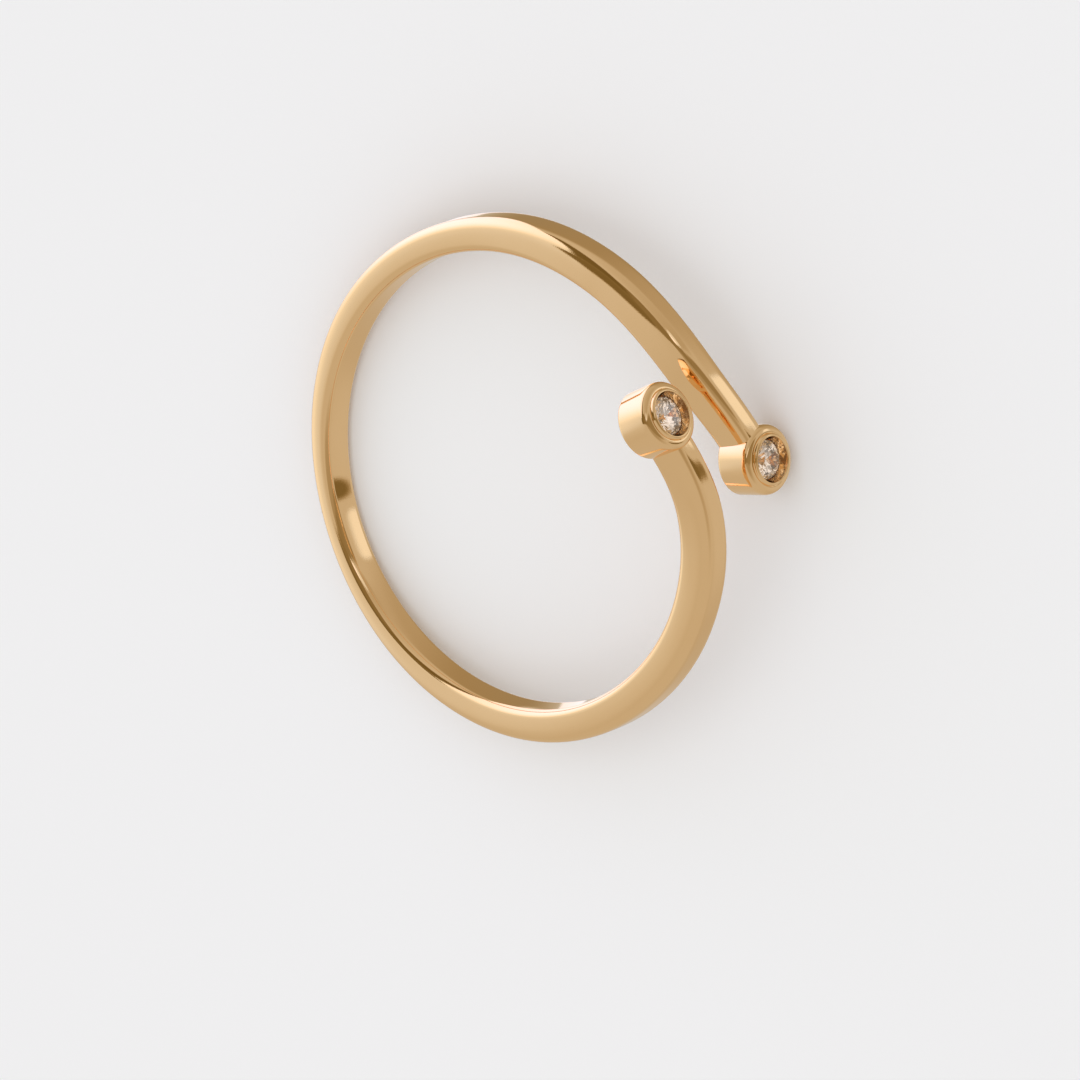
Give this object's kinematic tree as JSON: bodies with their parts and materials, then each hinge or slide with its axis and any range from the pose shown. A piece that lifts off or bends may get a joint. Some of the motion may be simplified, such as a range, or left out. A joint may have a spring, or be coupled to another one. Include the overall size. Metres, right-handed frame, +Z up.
{
  "type": "adjustable ring",
  "caption": "Open gold finger ring whose ends pass each other side by side, each end with a round cup that holds a small clear faceted stone.",
  "frame": {"origin": "on the ground under the middle of the box of the lying ring", "axes": "+Z up from the ground that the ring lies on, -Y towards the two cups, +X to their right; the ring's own axis leans back from +Z by 10.2 degrees towards +Y"},
  "size_m": [0.0194, 0.0198, 0.0071],
  "materials": {
    "yellow_gold": "mirror-polished yellow gold",
    "clear_stone": "cut and polished clear stone"
  },
  "bodies": {
    "root": {"band": "yellow_gold", "front_stone": "clear_stone", "rear_stone": "clear_stone"}
  },
  "joints": []
}
